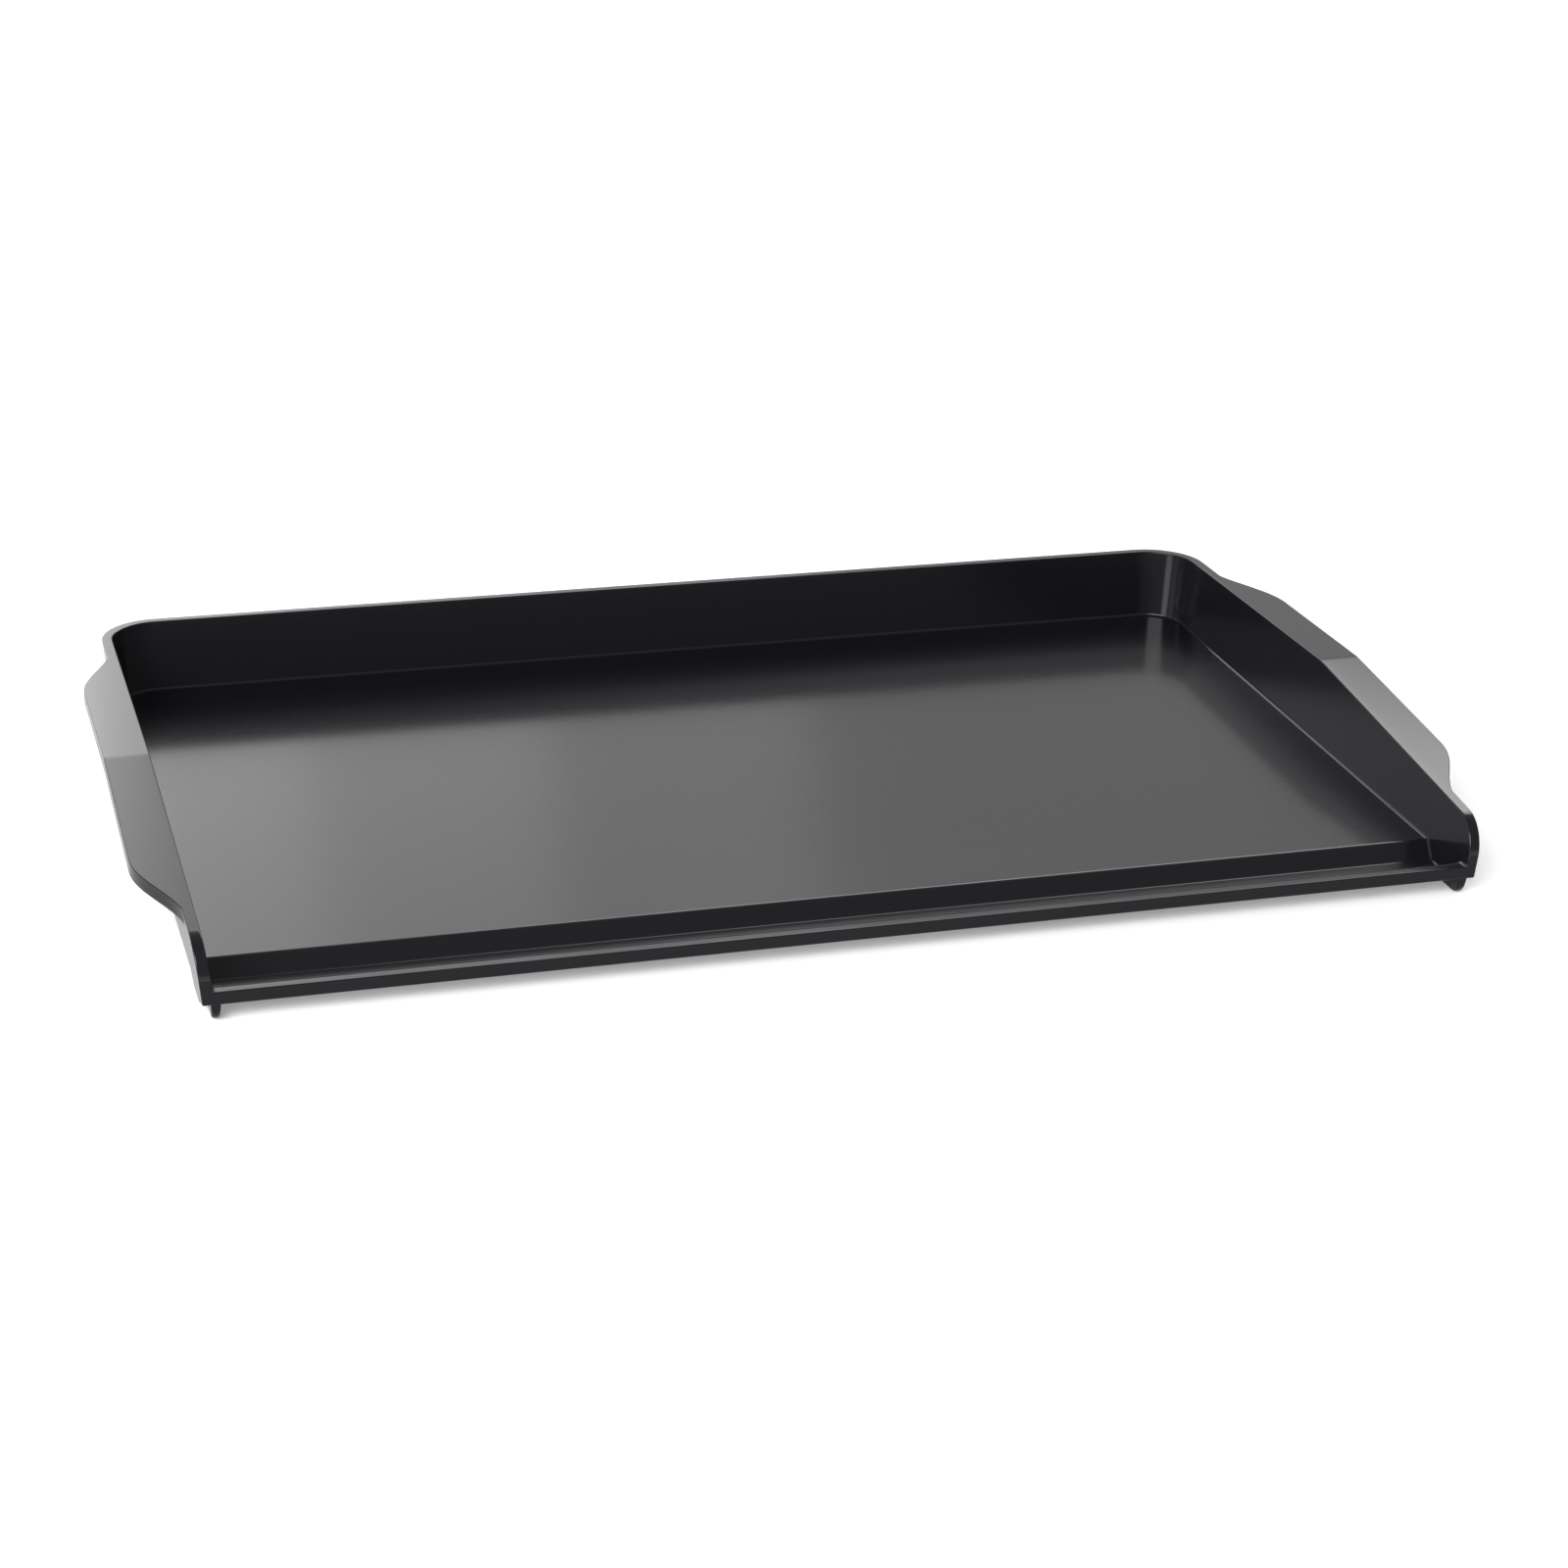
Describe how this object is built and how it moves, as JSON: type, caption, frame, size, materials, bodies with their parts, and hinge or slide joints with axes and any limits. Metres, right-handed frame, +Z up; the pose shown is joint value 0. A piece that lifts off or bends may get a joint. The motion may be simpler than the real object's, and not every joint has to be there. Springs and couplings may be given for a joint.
{
  "type": "stovetop griddle",
  "caption": "Rectangular cast griddle with splash walls on three sides, wing handles, an open front with a grease channel and lip, and fin feet.",
  "frame": {"origin": "middle of the width and depth, at the level that the feet stand on", "axes": "+X along the width from handle to handle, +Y from the open front to the back wall, +Z up"},
  "size_m": [0.496, 0.293, 0.0408],
  "materials": {
    "cast_body": "satin dark coated casting, slightly grainy",
    "coating": "satin dark non-stick, fine sprayed texture"
  },
  "bodies": {
    "root": {"cooking_plate": "cast_body", "back_splash_wall": "cast_body", "left_splash_wall": "cast_body", "right_splash_wall": "cast_body", "left_handle": "cast_body", "right_handle": "cast_body", "channel_rear_slope": "cast_body", "channel_floor": "cast_body", "channel_front_slope": "cast_body", "front_lip": "cast_body", "front_left_foot": "cast_body", "front_right_foot": "cast_body", "rear_left_foot": "cast_body", "rear_right_foot": "cast_body", "nonstick_coating": "coating"}
  },
  "joints": []
}
